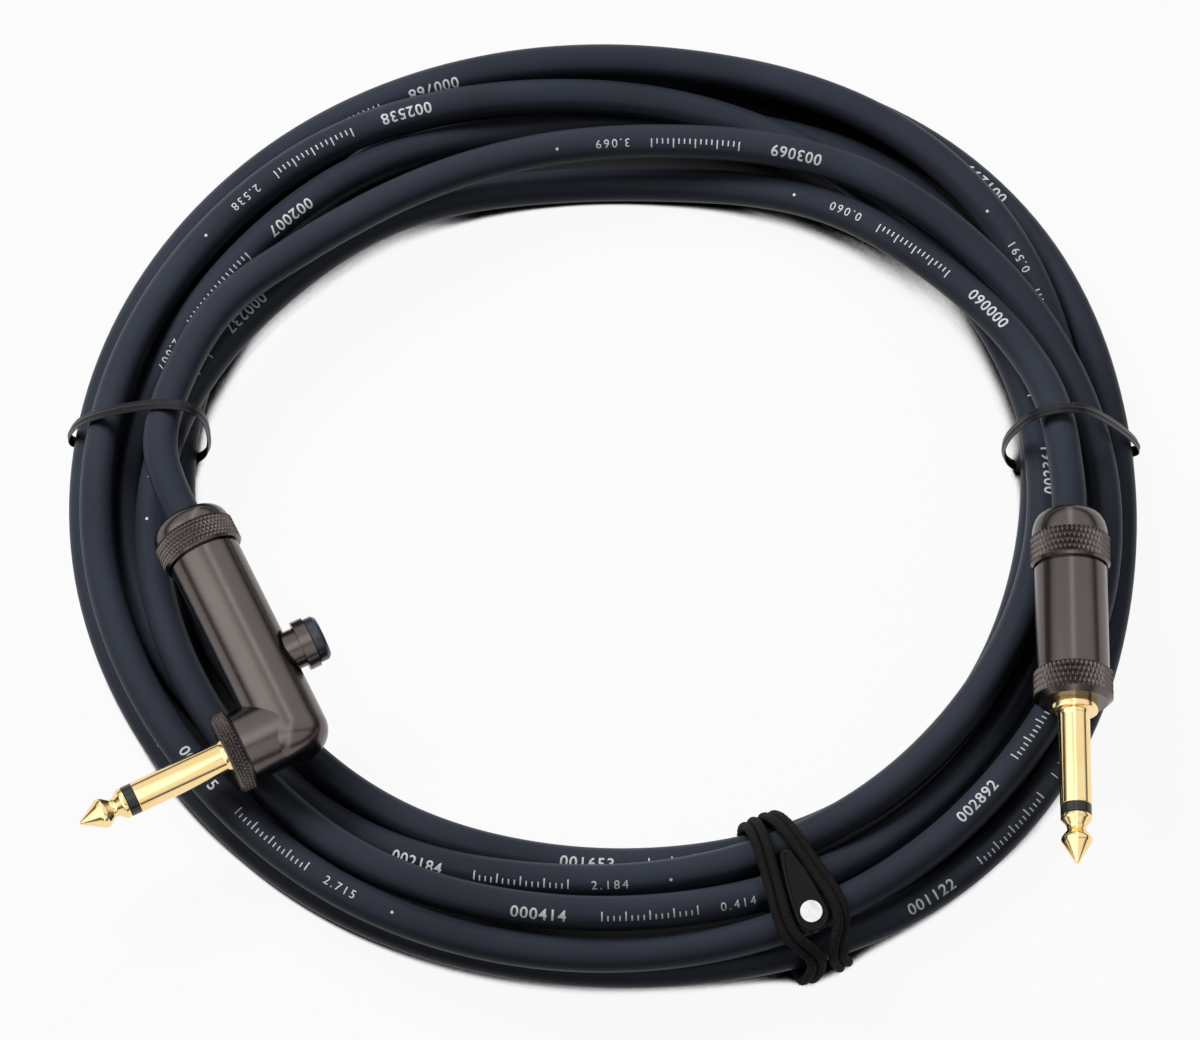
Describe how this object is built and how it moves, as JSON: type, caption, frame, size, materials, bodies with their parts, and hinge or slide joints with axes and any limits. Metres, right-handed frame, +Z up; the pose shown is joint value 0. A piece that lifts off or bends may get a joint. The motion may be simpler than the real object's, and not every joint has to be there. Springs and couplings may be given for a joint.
{
  "type": "instrument cable",
  "caption": "Coiled instrument cable with a straight phone plug, a right-angle phone plug with a mute button, and ties round the coil.",
  "frame": {"origin": "centre of the coil's outline, on the surface it lies on", "axes": "+X across the coil from the right-angle plug to the straight plug, -Y the way the straight plug points, +Z up"},
  "size_m": [0.2194, 0.2062, 0.0324],
  "materials": {
    "jacket": "satin extruded jacket",
    "gunmetal": "polished dark nickel plate",
    "gold": "polished gold plate",
    "insulator": "smooth moulded",
    "grip": "moulded",
    "copper": "tinned and bare strands",
    "spring_steel": "drawn wire",
    "twist_plastic": "satin plastic over wire",
    "elastic": "woven round elastic",
    "tag": "soft moulded",
    "badge": "satin"
  },
  "bodies": {
    "root": {"cable_coil": "jacket", "left_twist_tie": "twist_plastic", "right_twist_tie": "twist_plastic", "elastic_tie": "elastic", "tie_tag": "tag", "tie_badge": "badge", "straight_sleeve": "gold", "straight_insulator": "insulator", "straight_tip": "gold", "straight_tip_lug": "copper", "straight_ground_lug": "copper", "straight_core_wire": "copper", "straight_shield_wire": "copper", "angled_sleeve": "gold", "angled_insulator": "insulator", "angled_tip": "gold", "angled_tip_lug": "copper", "angled_ground_lug": "copper", "angled_core_wire": "copper", "angled_shield_wire": "copper", "straight_barrel": "gunmetal", "straight_liner": "grip", "angled_body": "gunmetal", "angled_front_nut": "gunmetal", "angled_switch_case": "grip", "angled_button_spring": "spring_steel"},
    "straight_grip": {"straight_collet": "grip"},
    "straight_cap": {"straight_rear_nut": "gunmetal"},
    "angled_grip": {"angled_collet": "grip"},
    "angled_cap": {"angled_rear_nut": "gunmetal"},
    "button": {"angled_button": "gunmetal"}
  },
  "joints": [
    {"name": "straight_cap_travel", "type": "slide", "parent": "root", "child": "straight_grip", "axis": [0, 1, 0], "range_m": [0, 0.004]},
    {"name": "straight_cap_turn", "type": "hinge", "parent": "straight_grip", "child": "straight_cap", "pos_m": [0.0937, -0.00822, 0.024], "axis": [0, 1, 0], "range_deg": [0, 1438]},
    {"name": "angled_cap_travel", "type": "slide", "parent": "root", "child": "angled_grip", "axis": [-0.4289, 0.9033, 0], "range_m": [0, 0.004]},
    {"name": "angled_cap_turn", "type": "hinge", "parent": "angled_grip", "child": "angled_cap", "pos_m": [-0.0841, -0.00922, 0.024], "axis": [-0.4289, 0.9033, 0], "range_deg": [0, 1438]},
    {"name": "button_press", "type": "slide", "parent": "root", "child": "button", "axis": [-0.9011, -0.4279, -0.0698], "range_m": [0, 0.0015], "stiffness_N_per_m": 900, "springref_m": -0.0006, "deforming": ["angled_button_spring"]}
  ],
  "couplings": [
    {"joint": "straight_cap_travel", "follows": "straight_cap_turn", "m_per_rad": 0.00015915},
    {"joint": "angled_cap_travel", "follows": "angled_cap_turn", "m_per_rad": 0.00015915}
  ]
}
